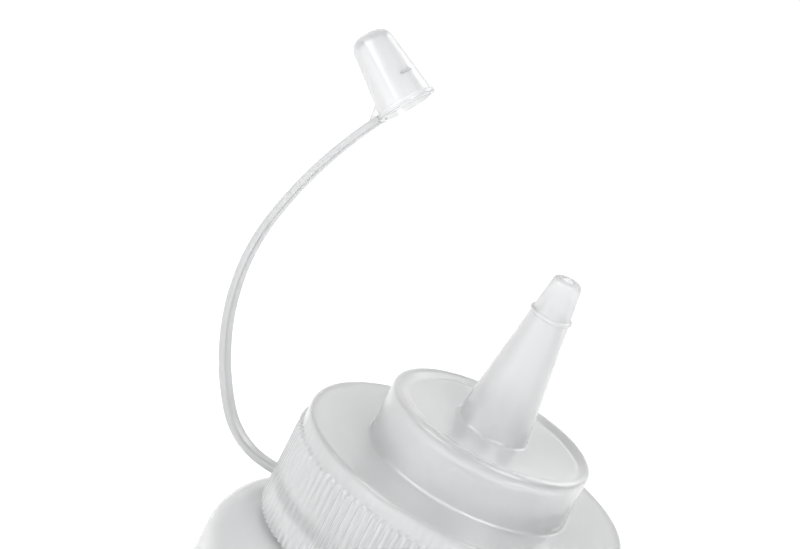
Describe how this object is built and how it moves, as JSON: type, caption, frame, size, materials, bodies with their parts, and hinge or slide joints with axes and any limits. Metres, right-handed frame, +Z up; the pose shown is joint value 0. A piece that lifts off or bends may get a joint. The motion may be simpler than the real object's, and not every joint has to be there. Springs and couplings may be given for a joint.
{
  "type": "squeeze dispensing bottle with nozzle cap",
  "caption": "Translucent squeeze bottle with a ribbed screw cap, a stepped drum, a tapered dispensing nozzle and a conical tip cap on a long curved strap.",
  "frame": {"origin": "centre of the ring that the bottle stands on", "axes": "+Z up along the bottle and nozzle axis, strap along -X"},
  "size_m": [0.0862, 0.07, 0.2188],
  "materials": {
    "bottle_plastic": "translucent natural polyethylene, satin gloss",
    "cap_plastic": "translucent natural polyethylene, satin gloss",
    "gasket_foam": "matt white foamed liner"
  },
  "bodies": {
    "bottle": {"bottle": "bottle_plastic"},
    "gasket": {"cap_gasket": "gasket_foam"},
    "screw_cap": {"screw_cap": "cap_plastic"},
    "strap": {"strap": "cap_plastic"},
    "tip_cap": {"tip_cap": "cap_plastic"}
  },
  "joints": [
    {"name": "cap_lift", "type": "slide", "parent": "bottle", "child": "gasket", "axis": [0, 0, 1], "range_m": [0, 0.0168]},
    {"name": "cap_twist", "type": "hinge", "parent": "gasket", "child": "screw_cap", "pos_m": [0, 0, 0], "axis": [0, 0, 1], "range_deg": [0, 1440]},
    {"name": "strap_flip", "type": "hinge", "parent": "screw_cap", "child": "strap", "pos_m": [-0.03516, 0, 0.14468], "axis": [0, 1, 0], "range_deg": [-12.4, 31], "stiffness_Nm_per_rad": 0.005},
    {"name": "strap_press", "type": "hinge", "parent": "strap", "child": "tip_cap", "pos_m": [-0.04757, 0, 0.18958], "axis": [0, 1, 0], "range_deg": [0, 29], "stiffness_Nm_per_rad": 0.002}
  ],
  "couplings": [
    {"joint": "cap_twist", "follows": "cap_lift", "rad_per_m": 1496}
  ]
}
